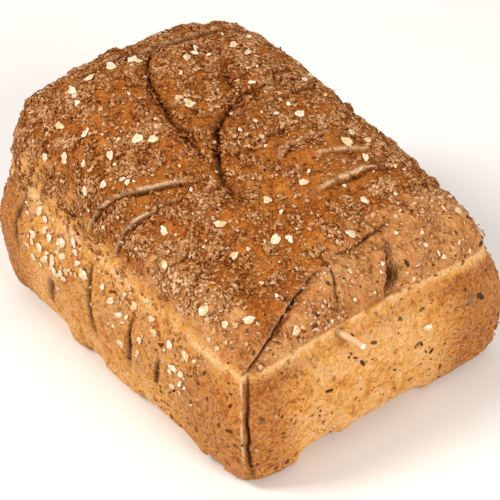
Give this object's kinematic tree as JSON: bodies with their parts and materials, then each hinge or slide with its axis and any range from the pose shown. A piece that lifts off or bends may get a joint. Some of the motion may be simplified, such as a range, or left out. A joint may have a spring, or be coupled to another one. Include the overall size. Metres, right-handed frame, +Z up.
{
  "type": "country bread",
  "caption": "Rectangular wholegrain loaf: domed brown top crust with slashes, bran and oat flakes, paler swelling walls, and a wooden pick that stands out of one end.",
  "frame": {"origin": "middle of the flat underside, on the surface that the loaf rests on", "axes": "+Z up, X along the loaf's long side with the wooden pick at the +X end, Y across"},
  "size_m": [0.2275, 0.1739, 0.1337],
  "materials": {
    "crust": "baked wholegrain crust, satin brown on top and paler golden on the walls",
    "bran": "dry bran shreds, matte",
    "oat": "rolled oat flakes, matte and pale",
    "seed": "brown linseeds, satin",
    "wood": "bare birch pick, smooth"
  },
  "bodies": {
    "root": {"loaf": "crust", "wooden_pick": "wood"}
  },
  "joints": []
}
